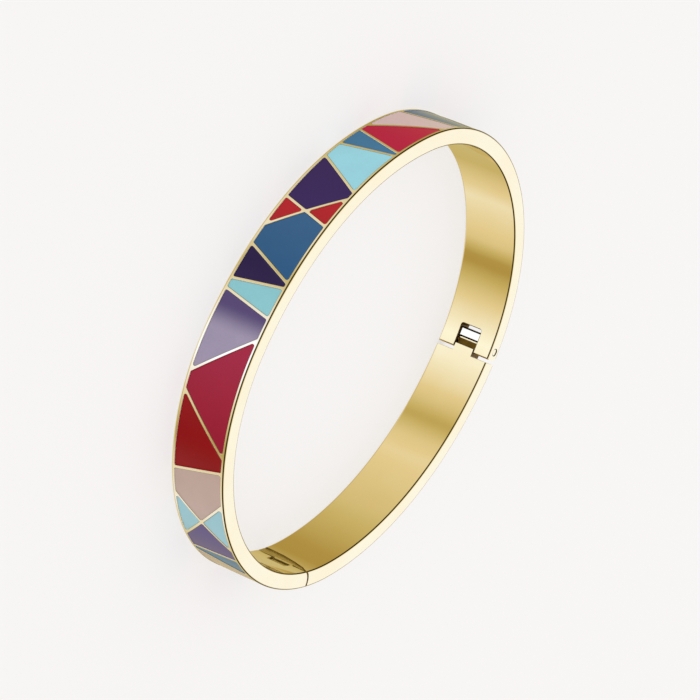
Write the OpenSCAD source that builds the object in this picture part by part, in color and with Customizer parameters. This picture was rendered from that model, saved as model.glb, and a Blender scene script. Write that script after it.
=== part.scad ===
// Hinged bangle: an oval bar in two parts, the long one enamelled outside in straight-edged fields.
// It lies on its side. The ring's axis is Z, and the lower edge face is on z = 0.

/* [Oval] */
// Outer radius of the two end arcs, mm
end_r = 26; // [25.5:0.1:26.5]

/* [Bar] */
// Width of the bar, along Z, mm
bar_w = 8; // [7.8:0.1:8.4]
// Thickness of the bar, mm
bar_t = 2.2; // [2.1:0.05:2.4]
// Rounding of the outer edges, mm
outer_round = 0.27; // [0.15:0.01:0.35]
// Rounding of the inner edges, mm
inner_round = 0.27; // [0.15:0.01:0.5]

/* [Enamel] */
// Metal rim left at each edge of the bar, mm
rim_w = 0.5; // [0.4:0.05:0.6]
// Width of the metal wires between the fields, mm
wire_w = 0.36; // [0.3:0.02:0.44]
// Depth of the recesses, mm
recess_d = 0.45; // [0.35:0.05:0.55]
// How far the enamel stays below the wires, mm
enamel_drop = 0.05; // [0.02:0.01:0.08]
// Gap round each enamel field, mm
enamel_gap = 0.02; // [0.02:0.01:0.04]
// Rounding of the fields' corners, mm
corner_r = 0.25; // [0.15:0.05:0.3]

/* [Hinge] */
// Angle of the pin about the right end arc's centre, degrees below +X
pin_angle = 56.6; // [56.2:0.1:57]
// Depth of the pin's axis below the outer face, mm
pin_depth = 1.1; // [1.05:0.05:1.15]
// Radius of the pin, mm
pin_r = 0.52; // [0.45:0.01:0.55]
// Width of the slot between the ears, mm
slot_w = 3.1; // [3:0.1:3.4]
// Distance from the pin to the slot's end wall, mm
slot_end = 2.15; // [2.1:0.05:2.4]
// Distance from the pin to the ears' flat ends, mm
ear_end = 1.17; // [1.1:0.01:1.2]
// Distance from the pin to the back part's shoulder, mm
shoulder = 1.66; // [1.6:0.02:1.8]
// Length of the tongue's tail past the pin, mm
tail = 1.7; // [1.6:0.05:1.75]
// Gap at each side of the tongue, mm
tongue_gap = 0.13; // [0.08:0.01:0.2]

/* [Clasp] */
// Angle of the seam about the left end arc's centre, degrees below -X
seam_angle = 48.97; // [48.5:0.01:49.5]
// Radius of the front part's convex end, mm
seam_r = 1.9; // [1.8:0.05:2]
// Gap at the seam, mm
seam_gap = 0.32; // [0.2:0.01:0.35]
// Width of the clasp tongue, mm
blade_w = 2.8; // [2.4:0.1:3]
// Length of the notch on the inner wall, mm
notch_l = 1.4; // [1.2:0.1:1.6]
// Width of the notch, mm
notch_w = 2.9; // [2.7:0.1:3.1]
// Depth of the relief on the back part's inner wall, mm
relief_d = 0.1; // [0.1:0.05:0.3]

/* [Hidden] */
$fn = 96;
turn = 60;                          // angle at which an end arc meets a side arc
end_x = 6.5184;                     // the end arcs' centres are at x = +-end_x
side_y = 11.2902;                   // the side arcs' centres are at y = -+side_y, end_x * tan(turn)
side_r = end_r + 2 * end_x;
end_len = end_r * turn * PI / 180;
quarter = end_len + side_r * (90 - turn) * PI / 180;
mid_z = bar_w / 2;
past = 1;                           // how far cuts reach past the edge faces
deep = 3;                           // how far they reach to each side of the bar's middle
block_from = -1.5;                  // a field's block, from and to about its tangent face
block_to = 0.7;

ENAMEL_GOLD = [0.93, 0.8, 0.48];
STEEL_BLUE = [0.2, 0.35, 0.53];
LIGHT_BLUE = [0.57, 0.82, 0.88];
CRIMSON = [0.7, 0.13, 0.26];
DARK_RED = [0.55, 0.07, 0.09];
BRIGHT_RED = [0.7, 0.12, 0.16];
AUBERGINE = [0.24, 0.14, 0.35];
DARK_AUBERGINE = [0.18, 0.12, 0.29];
LILAC = [0.45, 0.39, 0.55];
MUTED_PURPLE = [0.45, 0.39, 0.53];
ROSE = [0.75, 0.65, 0.61];

// Wires: place round the outer face, in mm from +X anticlockwise, at the lower and at the upper edge.
WIRES = [
    [116.2, 116.2], [110.6, 113.4], [108.3, 105.6], [100.8, 103.4], [100.1, 99.1],  // 0-4, from the clasp
    [89, 97.2], [97.6, 88.2],  // 5-6, the first crossing
    [85.7, 83.7], [74.7, 82.1], [73.1, 66], [61.8, 63.6], [60.6, 59.3], [55.4, 58.8],  // 7-12
    [53.1, 44.7], [47.8, 50.1],  // 13-14, the second crossing
    [39.6, 44.1], [36.9, 35.2], [32.6, 34.7], [31.6, 24.2], [24.1, 21.3],  // 15-19
    [14.2, 17.6], [11.6, 8.4],  // 20-21
    [5.4, -2], [-1.8, 5.2],  // 22-23, the third crossing
    [-9, -6.8], [-11.6, -15], [-19.3, -17], [-22.2, -22.2],  // 24-27, to the hinge
];
// Fields: colour, the wires on the side towards the hinge, the wires on the side towards the clasp.
FIELDS = [
    [AUBERGINE, [1], [0]], [CRIMSON, [2], [1]], [ROSE, [3], [2]], [STEEL_BLUE, [4], [3]],
    [MUTED_PURPLE, [5, 6], [4]], [LIGHT_BLUE, [5], [6]], [LIGHT_BLUE, [6], [5]], [ROSE, [7], [5, 6]],
    [DARK_RED, [8], [7]], [CRIMSON, [9], [8]], [LILAC, [10], [9]], [LIGHT_BLUE, [11], [10]],
    [DARK_AUBERGINE, [12], [11]], [STEEL_BLUE, [13, 14], [12]], [BRIGHT_RED, [14], [13]],
    [BRIGHT_RED, [13], [14]], [AUBERGINE, [15], [13, 14]], [LIGHT_BLUE, [16], [15]],
    [STEEL_BLUE, [17], [16]], [CRIMSON, [18], [17]], [ROSE, [19], [18]], [STEEL_BLUE, [20], [19]],
    [CRIMSON, [21], [20]], [AUBERGINE, [22, 23], [21]], [LIGHT_BLUE, [23], [22]],
    [LIGHT_BLUE, [22], [23]], [ROSE, [24], [22, 23]], [DARK_RED, [25], [24]],
    [LILAC, [26], [25]], [STEEL_BLUE, [27], [26]],
];
function field_name(i) = str("enamel_", i < 9 ? "0" : "", i + 1);

// Direction of the outer face's normal at place u, degrees
function normal_in(r) = r <= end_len ? r / end_r * 180 / PI : turn + (r - end_len) / side_r * 180 / PI;
function normal_at(u) =
    let (k = floor(u / quarter), q = (k % 4 + 4) % 4, r = u - k * quarter)
    q == 0 ? normal_in(r) : q == 1 ? 180 - normal_in(quarter - r)
    : q == 2 ? 180 + normal_in(r) : 360 - normal_in(quarter - r);
// Point of the outer face at place u
function place(u) =
    let (a = normal_at(u), c = abs(cos(a)), s = abs(sin(a)), in_end = atan2(s, c) <= turn,
         p = in_end ? [end_x + end_r * c, end_r * s] : [side_r * c, side_r * s - side_y])
    [p[0] * sign(cos(a)), p[1] * sign(sin(a))];

// Keeps the part of a convex outline on which n * point <= c
function clip(pts, n, c) = [
    for (i = [0:len(pts) - 1])
        let (a = pts[i], b = pts[(i + 1) % len(pts)], da = n * a - c, db = n * b - c)
        each concat(da <= 0 ? [a] : [], da * db < 0 ? [a + (b - a) * da / (da - db)] : [])
];
// The line of a wire, moved by half the wire and the gap towards the field: [normal, distance]
function wire_line(w, side, gap) =
    let (m = (WIRES[w][1] - WIRES[w][0]) / bar_w, k = sqrt(1 + m * m))
    [[side / k, -side * m / k], side * WIRES[w][0] / k - wire_w / 2 - gap];
function clip_all(pts, ws, side, gap, i = 0) =
    i >= len(ws) ? pts
    : let (l = wire_line(ws[i], side, gap)) clip_all(clip(pts, l[0], l[1]), ws, side, gap, i + 1);
// Outline of field f in (place, z), with its sharp corners
function field(f, gap) =
    let (u = [for (w = concat(FIELDS[f][1], FIELDS[f][2])) each WIRES[w]], e = rim_w + gap,
         box = [[min(u), e], [max(u), e], [max(u), bar_w - e], [min(u), bar_w - e]])
    clip_all(clip_all(box, FIELDS[f][2], 1, gap), FIELDS[f][1], -1, gap);
function unit(v) = v / norm(v);
// The same outline with each corner cut to a short arc of five points
function rounded(pts, r) = [
    for (i = [0:len(pts) - 1])
        let (n = len(pts), p = pts[i], a = pts[(i + n - 1) % n] - p, b = pts[(i + 1) % n] - p,
             m = -unit(unit(a) + unit(b)), t = [-m[1], m[0]], h = acos(unit(a) * unit(b)) / 2, s = 90 - h,
             q = min(r, 0.4 * min(norm(a), norm(b)) * tan(h)), c = p - m * q / sin(h))
        for (k = [-s, -s / 2, 0, s / 2, s]) c + q * (m * cos(k) + t * sin(k))
];

// The oval's four arcs, each about its own centre: the child is the section, with x = 0 on the outer face
module arc_of(x, y, r, a, sweep) {
    translate([x, y, 0]) rotate_extrude(angle = sweep, start = a) translate([r, 0]) children();
}
module whole_oval() {
    arc_of(end_x, 0, end_r, -turn, 2 * turn) children();
    arc_of(0, -side_y, side_r, turn, 180 - 2 * turn) children();
    arc_of(-end_x, 0, end_r, 180 - turn, 2 * turn) children();
    arc_of(0, side_y, side_r, 180 + turn, 180 - 2 * turn) children();
}
// Section of the bar: x = 0 is the outer face
module section() {
    difference() {
        translate([-bar_t, 0]) square([bar_t, bar_w]);
        for (z = [0, bar_w - outer_round])
            translate([-outer_round, z]) square([outer_round + 1, outer_round]);
        for (z = [0, bar_w - inner_round]) translate([-bar_t - 1, z]) square([inner_round + 1, inner_round]);
    }
    for (z = [outer_round, bar_w - outer_round]) translate([-outer_round, z]) circle(outer_round);
    for (z = [inner_round, bar_w - inner_round]) translate([inner_round - bar_t, z]) circle(inner_round);
}
// A block of depth d0 to d1 below the outer face, for the recesses and the enamel
module shell(d0, d1) { whole_oval() translate([-d1, -past]) square([d1 - d0, bar_w + 2 * past]); }
// A field's straight-sided block, square to the face at the field's middle
module field_block(f, gap) {
    pts = rounded(field(f, gap), corner_r);
    u = [for (p = pts) p[0]];
    mid = (min(u) + max(u)) / 2;
    a = normal_at(mid);
    o = place(mid);
    t = [-sin(a), cos(a)];
    flat = [for (p = pts) [(place(p[0]) - o) * t, p[1]]];
    translate([o[0], o[1], 0]) rotate([0, 0, a]) rotate([90, 0, 90])
        translate([0, 0, block_from]) linear_extrude(block_to - block_from) polygon(flat);
}

// Frames at the pin and at the seam: children are drawn with x along the band, anticlockwise, and y inwards
seam_depth = 1.48;                  // the seam frame's depth below the outer face
pin_at = [end_x + (end_r - pin_depth) * cos(pin_angle), -(end_r - pin_depth) * sin(pin_angle)];
seam_at = [-end_x - (end_r - seam_depth) * cos(seam_angle), -(end_r - seam_depth) * sin(seam_angle)];
module at_pin() { translate([pin_at[0], pin_at[1], 0]) rotate([0, 0, 90 - pin_angle]) children(); }
module at_seam() { translate([seam_at[0], seam_at[1], 0]) rotate([0, 0, 270 + seam_angle]) children(); }
module slab(x0, x1, y0, y1, z0, z1) { translate([x0, y0, z0]) cube([x1 - x0, y1 - y0, z1 - z0]); }

// Hinge, in the pin's frame
ear_r = 1.15;                       // the ears' rounding outside
slot_corner = 0.3;                  // rounding of the slot's corners
ear_play = 0.02;                    // clearance of the pin in the ears
tongue_play = 0.06;                 // clearance of the pin in the tongue
pin_inset = 0.02;                   // how far the pin stays below the edge faces
chamfer = 0.5;                      // side of the square that bevels the shoulder's outer corner
groove = [-0.64, 0.39];             // the groove across the tongue, from and to x
groove_floor = 0.64;                // y of its floor
tail_face = 0.8;                    // y of the tail's inner face
tongue_lap = 0.3;                   // how far the tongue's block runs into the back part

// Clasp, in the seam's frame
seam_mid = [-seam_r, -0.7];         // the convex end's centre
seam_in = -0.6;                     // x at which the seam meets the inner wall
inner_y = bar_t - seam_depth;       // y of the inner wall
notch_d = 0.2;                      // depth of the notch
// Outline of the relief in (x, z): straight at the seam, bowed on the back part
RELIEF = [[-1, -1], [1.5, -1], [1.5, 1.2], [1.4, 3], [1, 5], [0.46, 6.7], [-0.44, 8], [-1, 8]];
blade_in = 43.05;                   // the clasp tongue's inner radius about the pin
blade_t = 0.45;                     // its thickness
blade_play = 0.07;                  // its clearance in the slot, in thickness
blade_side = 0.1;                   // and at each side
blade_turn = [173.5, 180.5];        // the angles about the pin between which the slot runs
root = [1.6, -0.95, -0.45];         // the tongue's root: length, and y from and to
tip_drop = 0.06;                    // how far the tongue's tip stays below the notch's floor
root_play = 0.03;                   // clearance of its seat

// Everything on the back part's side of the two cuts: a block at each cut, and one that joins them
cut_reach = 8;                      // length of the blocks at the cuts
back_from = [-20, -30];             // corner of the joining block in the plane
back_size = [36, 9];                // and its size
module back_side(end_gap) {
    difference() {
        union() {
            at_seam() slab(seam_mid[0], cut_reach, -deep, deep, -past, bar_w + past);
            translate([back_from[0], back_from[1], -past])
                cube([back_size[0], back_size[1], bar_w + 2 * past]);
            at_pin() slab(-cut_reach, 0, -deep, deep, -past, bar_w + past);
        }
        at_seam() translate([seam_mid[0], seam_mid[1], -2 * past])
            cylinder(r = seam_r + end_gap, h = bar_w + 4 * past);
    }
}
// A curved slot about the pin, where the clasp tongue slides
module swing_slot(r0, r1, w) {
    translate([pin_at[0], pin_at[1], mid_z - w / 2]) rotate([0, 0, blade_turn[0]])
        rotate_extrude(angle = blade_turn[1] - blade_turn[0], $fn = 200)
            translate([r0, 0]) square([r1 - r0, w]);
}

module front_band() color(ENAMEL_GOLD) difference() {
    whole_oval() section();
    difference() {
        back_side(0);
        // the ears: rounded about the pin outside, square inside
        at_pin() translate([0, 0, -2 * past]) cylinder(r = ear_r, h = bar_w + 4 * past);
        at_pin() slab(-ear_end, 1, 0, deep, -2 * past, bar_w + 2 * past);
    }
    // slot between the ears, with rounded corners
    at_pin() {
        side = slot_w / 2;
        slab(-4, slot_end - slot_corner, -deep, deep, mid_z - side, mid_z + side);
        slab(0, slot_end, -deep, deep, mid_z - side + slot_corner, mid_z + side - slot_corner);
        for (z = [-1, 1]) translate([slot_end - slot_corner, deep, mid_z + z * (side - slot_corner)])
            rotate([90, 0, 0]) cylinder(r = slot_corner, h = 2 * deep);
        translate([0, 0, -past]) cylinder(r = pin_r + ear_play, h = bar_w + 2 * past);
    }
    // the notch and the tongue's slot
    at_seam() slab(seam_in - notch_l, seam_in + 1, inner_y - notch_d, deep,
                   mid_z - notch_w / 2, mid_z + notch_w / 2);
    swing_slot(blade_in - blade_play, blade_in + blade_t + blade_play, blade_w + 2 * blade_side);
    intersection() {
        shell(-1, recess_d);
        union() for (f = [0:len(FIELDS) - 1]) field_block(f, 0);
    }
}

module back_band() color(ENAMEL_GOLD) difference() {
    union() {
        intersection() {
            difference() {
                whole_oval() section();
                at_pin() slab(-shoulder, 5 * cut_reach, -deep, deep, -past, bar_w + past);
                // chamfer on the shoulder's outer corner
                at_pin() translate([-shoulder, -pin_depth, -past]) rotate([0, 0, 45])
                    translate([-chamfer / 2, -chamfer / 2, 0]) cube([chamfer, chamfer, bar_w + 2 * past]);
            }
            back_side(seam_gap);
        }
        intersection() {
            whole_oval() section();
            at_pin() translate([-shoulder - tongue_lap, -deep, mid_z - slot_w / 2 + tongue_gap])
                cube([shoulder + tongue_lap + tail, 2 * deep, slot_w - 2 * tongue_gap]);
        }
    }
    at_pin() {
        slab(groove[0], groove[1], groove_floor, deep, -past, bar_w + past);
        slab(groove[1] - 0.01, deep, tail_face, deep, -past, bar_w + past);
        translate([0, 0, -past]) cylinder(r = pin_r + tongue_play, h = bar_w + 2 * past);
    }
    at_seam() {
        // relief on the inner wall, and the seat of the clasp tongue's root
        translate([0, deep, 0]) rotate([90, 0, 0]) linear_extrude(deep - inner_y + relief_d) polygon(RELIEF);
        slab(-1, root[0] + root_play, root[1] - root_play, root[2] + root_play,
             mid_z - blade_w / 2 - root_play, mid_z + blade_w / 2 + root_play);
    }
}

module hinge_pin() color(ENAMEL_GOLD)
    translate([pin_at[0], pin_at[1], pin_inset]) cylinder(r = pin_r, h = bar_w - 2 * pin_inset);

module clasp_tongue() color(ENAMEL_GOLD) {
    intersection() {
        swing_slot(blade_in, blade_in + blade_t, blade_w);
        at_seam() slab(-2, 1, root[1], inner_y - notch_d - tip_drop, 0, bar_w);
    }
    at_seam() slab(0, root[0], root[1], root[2], mid_z - blade_w / 2, mid_z + blade_w / 2);
}

module enamel(f) color(FIELDS[f][0]) intersection() {
    shell(enamel_drop, recess_d - enamel_gap);
    field_block(f, enamel_gap);
}

front_band();
back_band();
hinge_pin();
clasp_tongue();
for (i = [0:len(FIELDS) - 1]) enamel(i);
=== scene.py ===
"""Looks of a hinged bangle: an oval gold bar in two hinged parts, the long one set with enamel fields.

Lengths are in millimetres until a mesh is made. A place on the band is (along, up, depth): the distance round
the outer face from +X anticlockwise, the height over the lower edge, and the depth below the outer face.
"""

from __future__ import annotations

import logging
import math
from collections.abc import Callable, Iterable, Mapping, Sequence
from dataclasses import dataclass, field
from enum import Enum
from typing import Any

import bmesh
import bpy
from mathutils import Matrix, Vector
from mathutils.geometry import delaunay_2d_cdt

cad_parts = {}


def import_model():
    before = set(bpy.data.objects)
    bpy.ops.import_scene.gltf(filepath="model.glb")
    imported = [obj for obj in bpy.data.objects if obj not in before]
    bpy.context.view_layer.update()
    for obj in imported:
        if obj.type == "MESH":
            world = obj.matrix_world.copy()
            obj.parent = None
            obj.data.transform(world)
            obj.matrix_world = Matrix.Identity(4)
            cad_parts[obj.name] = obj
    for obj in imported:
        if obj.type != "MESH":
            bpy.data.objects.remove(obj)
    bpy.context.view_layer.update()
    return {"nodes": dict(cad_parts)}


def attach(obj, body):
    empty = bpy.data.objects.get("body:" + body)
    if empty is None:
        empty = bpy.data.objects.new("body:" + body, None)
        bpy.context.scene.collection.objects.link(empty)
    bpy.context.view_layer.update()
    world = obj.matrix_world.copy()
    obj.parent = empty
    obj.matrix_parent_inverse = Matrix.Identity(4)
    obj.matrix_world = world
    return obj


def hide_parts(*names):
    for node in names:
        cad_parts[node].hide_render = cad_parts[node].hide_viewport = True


log = logging.getLogger("bangle")

MM = 0.001  # a millimetre in metres
WELD = 1e-7  # points of a cut mesh that lie closer than this are one point, in metres
TOUCH = 1e-7  # points of an outline that lie closer than this are one point, in millimetres
TINY = 1e-9  # a side shorter than this has no direction, in millimetres
PLACES_PER_MM = 2e4  # steps to which places are rounded when they are compared
CORNER_SHARE = 0.4  # how much of a short side a rounded corner takes at most
Point = tuple[float, float]
Place = tuple[float, float, float]
Colour = tuple[float, float, float, float]


# Shader graphs


class Signal:
    """A value that a shader works out. Python's operators on it add Math nodes."""

    def __init__(self, graph: Graph, socket: bpy.types.NodeSocket | None) -> None:
        """Wraps an output socket of a graph's node."""
        self.graph = graph
        self.socket = socket

    def _math(self, operation: str, *values: Signal | float) -> Signal:
        """Adds one Math node."""
        return self.graph.node("ShaderNodeMath", {"operation": operation}, dict(enumerate(values)))

    def __add__(self, other: Signal | float) -> Signal:
        """Sum."""
        return self._math("ADD", self, other)

    def __radd__(self, other: float) -> Signal:
        """Sum with a number on the left."""
        return self._math("ADD", other, self)

    def __sub__(self, other: Signal | float) -> Signal:
        """Difference."""
        return self._math("SUBTRACT", self, other)

    def __rsub__(self, other: float) -> Signal:
        """Difference from a number."""
        return self._math("SUBTRACT", other, self)

    def __mul__(self, other: Signal | float) -> Signal:
        """Product."""
        return self._math("MULTIPLY", self, other)

    def __rmul__(self, other: float) -> Signal:
        """Product with a number on the left."""
        return self._math("MULTIPLY", other, self)

    def __truediv__(self, other: Signal | float) -> Signal:
        """Quotient."""
        return self._math("DIVIDE", self, other)

    def __rtruediv__(self, other: float) -> Signal:
        """Quotient with a number on the left."""
        return self._math("DIVIDE", other, self)

    def turn_from(self, other: Signal) -> Signal:
        """Angle whose tangent is this value over the other, in radians."""
        return self._math("ARCTAN2", self, other)

    def step(self, low: float, high: float) -> Signal:
        """Smooth rise from 0 to 1.

        Args:
            low: the value at which it starts.
            high: the value at which it ends.

        Returns:
            The rise.
        """
        settings = {"interpolation_type": "SMOOTHSTEP", "clamp": True}
        sockets = {"Value": self, "From Min": low, "From Max": high}
        return self.graph.node("ShaderNodeMapRange", settings, sockets)


class Graph:
    """The node tree of one material or world."""

    def __init__(self, tree: bpy.types.NodeTree) -> None:
        """Starts with an empty tree."""
        self.tree = tree
        tree.nodes.clear()

    def node(
        self,
        kind: str,
        settings: Mapping[str, Any] | None = None,
        inputs: Mapping[str | int, Any] | None = None,
        output: str | int = 0,
    ) -> Signal:
        """Adds a node.

        Args:
            kind: the node's type.
            settings: its properties, set first. "stops" gives a colour ramp its positions and colours.
            inputs: a value or a Signal for each socket, by name or number.
            output: the output that is wrapped.

        Returns:
            The chosen output.
        """
        node = self.tree.nodes.new(kind)
        for name, value in (settings or {}).items():
            if name == "stops":
                self._set_stops(node.color_ramp, value)
            else:
                setattr(node, name, value)
        for name, value in (inputs or {}).items():
            if isinstance(value, Signal):
                self.tree.links.new(value.socket, node.inputs[name])
            else:
                node.inputs[name].default_value = value
        return Signal(self, node.outputs[output] if node.outputs else None)

    @staticmethod
    def _set_stops(ramp: bpy.types.ColorRamp, stops: Sequence[tuple[float, Sequence[float]]]) -> None:
        """Sets a ramp's stops.

        Args:
            ramp: the ramp of a new node.
            stops: positions, rising, each with its red, green and blue.
        """
        while len(ramp.elements) < len(stops):
            ramp.elements.new(1.0)
        for element, (position, colour) in zip(ramp.elements, stops, strict=True):
            element.position = position
            element.color = (*colour, 1.0)

    def place(self, stretch: tuple[float, float, float] | None = None) -> Signal:
        """Object coordinates in metres.

        Args:
            stretch: what multiplies them, or None.

        Returns:
            The coordinates.
        """
        at = self.node("ShaderNodeTexCoord", None, None, "Object")
        if stretch is None:
            return at
        return self.node("ShaderNodeVectorMath", {"operation": "MULTIPLY"}, {0: at, 1: stretch})

    def noise(self, at: Signal, scale: float, detail: float = 2.0, roughness: float = 0.5) -> Signal:
        """Noise from 0 to 1, with scale in cells a metre."""
        sockets = {"Vector": at, "Scale": scale, "Detail": detail, "Roughness": roughness}
        return self.node("ShaderNodeTexNoise", None, sockets)

    def mix(
        self, factor: Signal | float, low: Signal | Colour, high: Signal | Colour, blend: str = "MIX"
    ) -> Signal:
        """Mixes two colours by a factor."""
        settings = {"data_type": "RGBA", "blend_type": blend, "clamp_factor": True}
        return self.node("ShaderNodeMix", settings, {0: factor, 6: low, 7: high}, 2)

    def bump(self, height: Signal, distance: float, strength: float = 0.1) -> Signal:
        """A bumped normal, with the distance in metres."""
        sockets = {"Strength": strength, "Distance": distance, "Height": height}
        return self.node("ShaderNodeBump", None, sockets)

    def surface(self, **sockets: Any) -> None:
        """Ends the graph in a principled surface.

        Args:
            sockets: the surface's inputs, with their words joined by underscores.
        """
        named = {name.replace("_", " "): value for name, value in sockets.items()}
        shader = self.node("ShaderNodeBsdfPrincipled", None, named)
        self.node("ShaderNodeOutputMaterial", None, {"Surface": shader})


def linear(screen: tuple[int, int, int]) -> Colour:
    """A screen colour, 0 to 255, as a linear one.

    Args:
        screen: red, green and blue.

    Returns:
        The linear colour with full alpha.
    """
    parts = [value / 255 for value in screen]
    red, green, blue = [v / 12.92 if v <= 0.04045 else ((v + 0.055) / 1.055) ** 2.4 for v in parts]
    return (red, green, blue, 1.0)


def new_graph(name: str) -> tuple[bpy.types.Material, Graph]:
    """Makes a material.

    Args:
        name: its name.

    Returns:
        The material and its empty graph.
    """
    made = bpy.data.materials.new(name)
    made.use_nodes = True
    return made, Graph(made.node_tree)


# Finishes


@dataclass(frozen=True)
class Noise:
    """Marks all over a finish: noise in cells a metre, whose values from low to high become 0 to 1."""

    scale: float
    low: float
    high: float
    detail: float = 2.0
    roughness: float = 0.5
    stretch: tuple[float, float, float] | None = None

    def on(self, graph: Graph) -> Signal:
        """The marks as a value of a graph, from 0 to 1."""
        at = graph.place(self.stretch)
        return graph.noise(at, self.scale, self.detail, self.roughness).step(self.low, self.high)


@dataclass(frozen=True)
class PolishedGold:
    """Polished gold plate: a mirror with hairlines along the bar, faint smudges and painted shade on its
    upper edges.

    The painted shade, a dark reflection painted into the colour, lies where the surface turns upwards,
    between the listed shares of the way to upright.
    """

    name: str = "polished_gold"
    pale: Colour = (0.95, 0.81, 0.49, 1.0)
    warm: Colour = (0.94, 0.76, 0.42, 1.0)
    # painted shade: the dark colour of upward-turning edges, standing for the dark surround that they mirror
    painted_edge_shade: Colour = (0.10, 0.07, 0.015, 1.0)
    polish: float = 0.05
    smudge: float = 0.05
    hairline: float = 0.05
    hairline_height: float = 0.02
    cloud: float = 0.5
    clouds: Noise = Noise(160, 0.3, 0.7, detail=3)
    smudges: Noise = Noise(420, 0.5, 0.75, detail=4, roughness=0.65)
    hairlines: Noise = Noise(1400, 0.55, 0.8, roughness=0.7, stretch=(0.12, 0.12, 6.0))
    swell_scale: float = 240
    swell_height: float = 0.00004
    edge_shade_from: Point = (0.04, 0.16)
    edge_shade_to: Point = (0.68, 0.84)

    def material(self) -> bpy.types.Material:
        """Builds the material.

        Returns:
            The material.
        """
        made, g = new_graph(self.name)
        hairlines = self.hairlines.on(g)
        swell = g.noise(g.place(), self.swell_scale, 1) + hairlines * self.hairline_height
        # Painted shade: the base colour darkens where the normal turns upwards, as a mirrored dark surround
        # would make it look.
        normal = g.node("ShaderNodeNewGeometry", None, None, "Normal")
        rise = g.node("ShaderNodeSeparateXYZ", None, {0: normal}, "Z")
        edge = rise.step(*self.edge_shade_from) * (1.0 - rise.step(*self.edge_shade_to))
        clouded = g.mix(self.clouds.on(g) * self.cloud, self.pale, self.warm)
        g.surface(
            Base_Color=g.mix(edge, clouded, self.painted_edge_shade),
            Metallic=1.0,
            Roughness=self.polish + self.smudges.on(g) * self.smudge + hairlines * self.hairline,
            Normal=g.bump(swell, self.swell_height),
        )
        return made


@dataclass(frozen=True)
class BareGoldPaintedShade:
    """Cut faces inside the hinge and the clasp: matt, with fine tool marks, and in a brown far darker than
    the polished gold that paints the shade in these crevices.
    """

    name: str = "bare_gold_painted_shade"
    # painted shade: browns far darker than gold, for the shade in the hinge's groove and slots
    light: Colour = (0.15, 0.080, 0.012, 1.0)
    dark: Colour = (0.10, 0.055, 0.008, 1.0)
    matt: float = 0.34
    mark: float = 0.12
    mark_height: float = 0.00001
    mark_strength: float = 0.15
    marks: Noise = Noise(2400, 0.35, 0.7, detail=3, roughness=0.7, stretch=(1.0, 1.0, 9.0))
    stains: Noise = Noise(900, 0.35, 0.75, detail=3, roughness=0.6)

    def material(self) -> bpy.types.Material:
        """Builds the material.

        Returns:
            The material.
        """
        made, g = new_graph(self.name)
        marks = self.marks.on(g)
        g.surface(
            Base_Color=g.mix(self.stains.on(g), self.light, self.dark),
            Metallic=1.0,
            Roughness=self.matt + marks * self.mark,
            Normal=g.bump(marks, self.mark_height, self.mark_strength),
        )
        return made


@dataclass(frozen=True)
class Enamel:
    """Gloss enamel fired between wires: a clear colour with faint clouds, and painted shade where it climbs
    the wire.
    """

    name: str
    start: tuple[int, int, int]
    end: tuple[int, int, int]
    family: str = ""
    turning: Point = (0.0, 1.0)
    gloss: float = 0.09
    haze: float = 0.06
    cloud: float = 0.14
    grain: float = 0.1
    clouds: Noise = Noise(300, 0.25, 0.8, detail=4, roughness=0.6)
    grains: Noise = Noise(5200, 0.62, 0.8)
    hazes: Noise = Noise(900, 0.45, 0.8, detail=3, roughness=0.6)
    swell_scale: float = 700
    swell_height: float = 0.00003
    ripple_scale: float = 3000
    ripple: float = 0.1
    refraction: float = 1.27
    coat: float = 0.05
    coat_gloss: float = 0.04
    rim_shade: float = 0.5
    misted: Colour = (0.6, 0.6, 0.64, 1.0)
    # painted shade at the rim: the colour that the enamel darkens towards
    rim_painted_shade: Colour = (0.32, 0.28, 0.26, 1.0)

    @property
    def slot(self) -> str:
        """The slot name of its family of colours."""
        return f"enamel_{self.family or self.name}"

    def material(self) -> bpy.types.Material:
        """Builds the material. The field's mesh says how far along it and how near its rim each point is.

        Returns:
            The material.
        """
        made, g = new_graph(f"enamel_{self.name}")
        along = g.node("ShaderNodeAttribute", {"attribute_name": "along"}, None, "Fac")
        rim = g.node("ShaderNodeAttribute", {"attribute_name": "rim"}, None, "Fac")
        body = g.mix(along.step(*self.turning), linear(self.start), linear(self.end))
        mist = self.clouds.on(g) * self.cloud + self.grains.on(g) * self.grain
        clouded = g.mix(mist, body, self.misted, "MULTIPLY")
        at = g.place()
        swell = g.noise(at, self.swell_scale, 2) + g.noise(at, self.ripple_scale, 1) * self.ripple
        g.surface(
            # painted shade: the colour darkens towards the field's rim, where it meets the wire
            Base_Color=g.mix(rim * self.rim_shade, clouded, self.rim_painted_shade, "MULTIPLY"),
            Roughness=self.gloss + self.hazes.on(g) * self.haze,
            IOR=self.refraction,
            Coat_Weight=self.coat,
            Coat_Roughness=self.coat_gloss,
            Normal=g.bump(swell, self.swell_height),
        )
        return made


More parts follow.
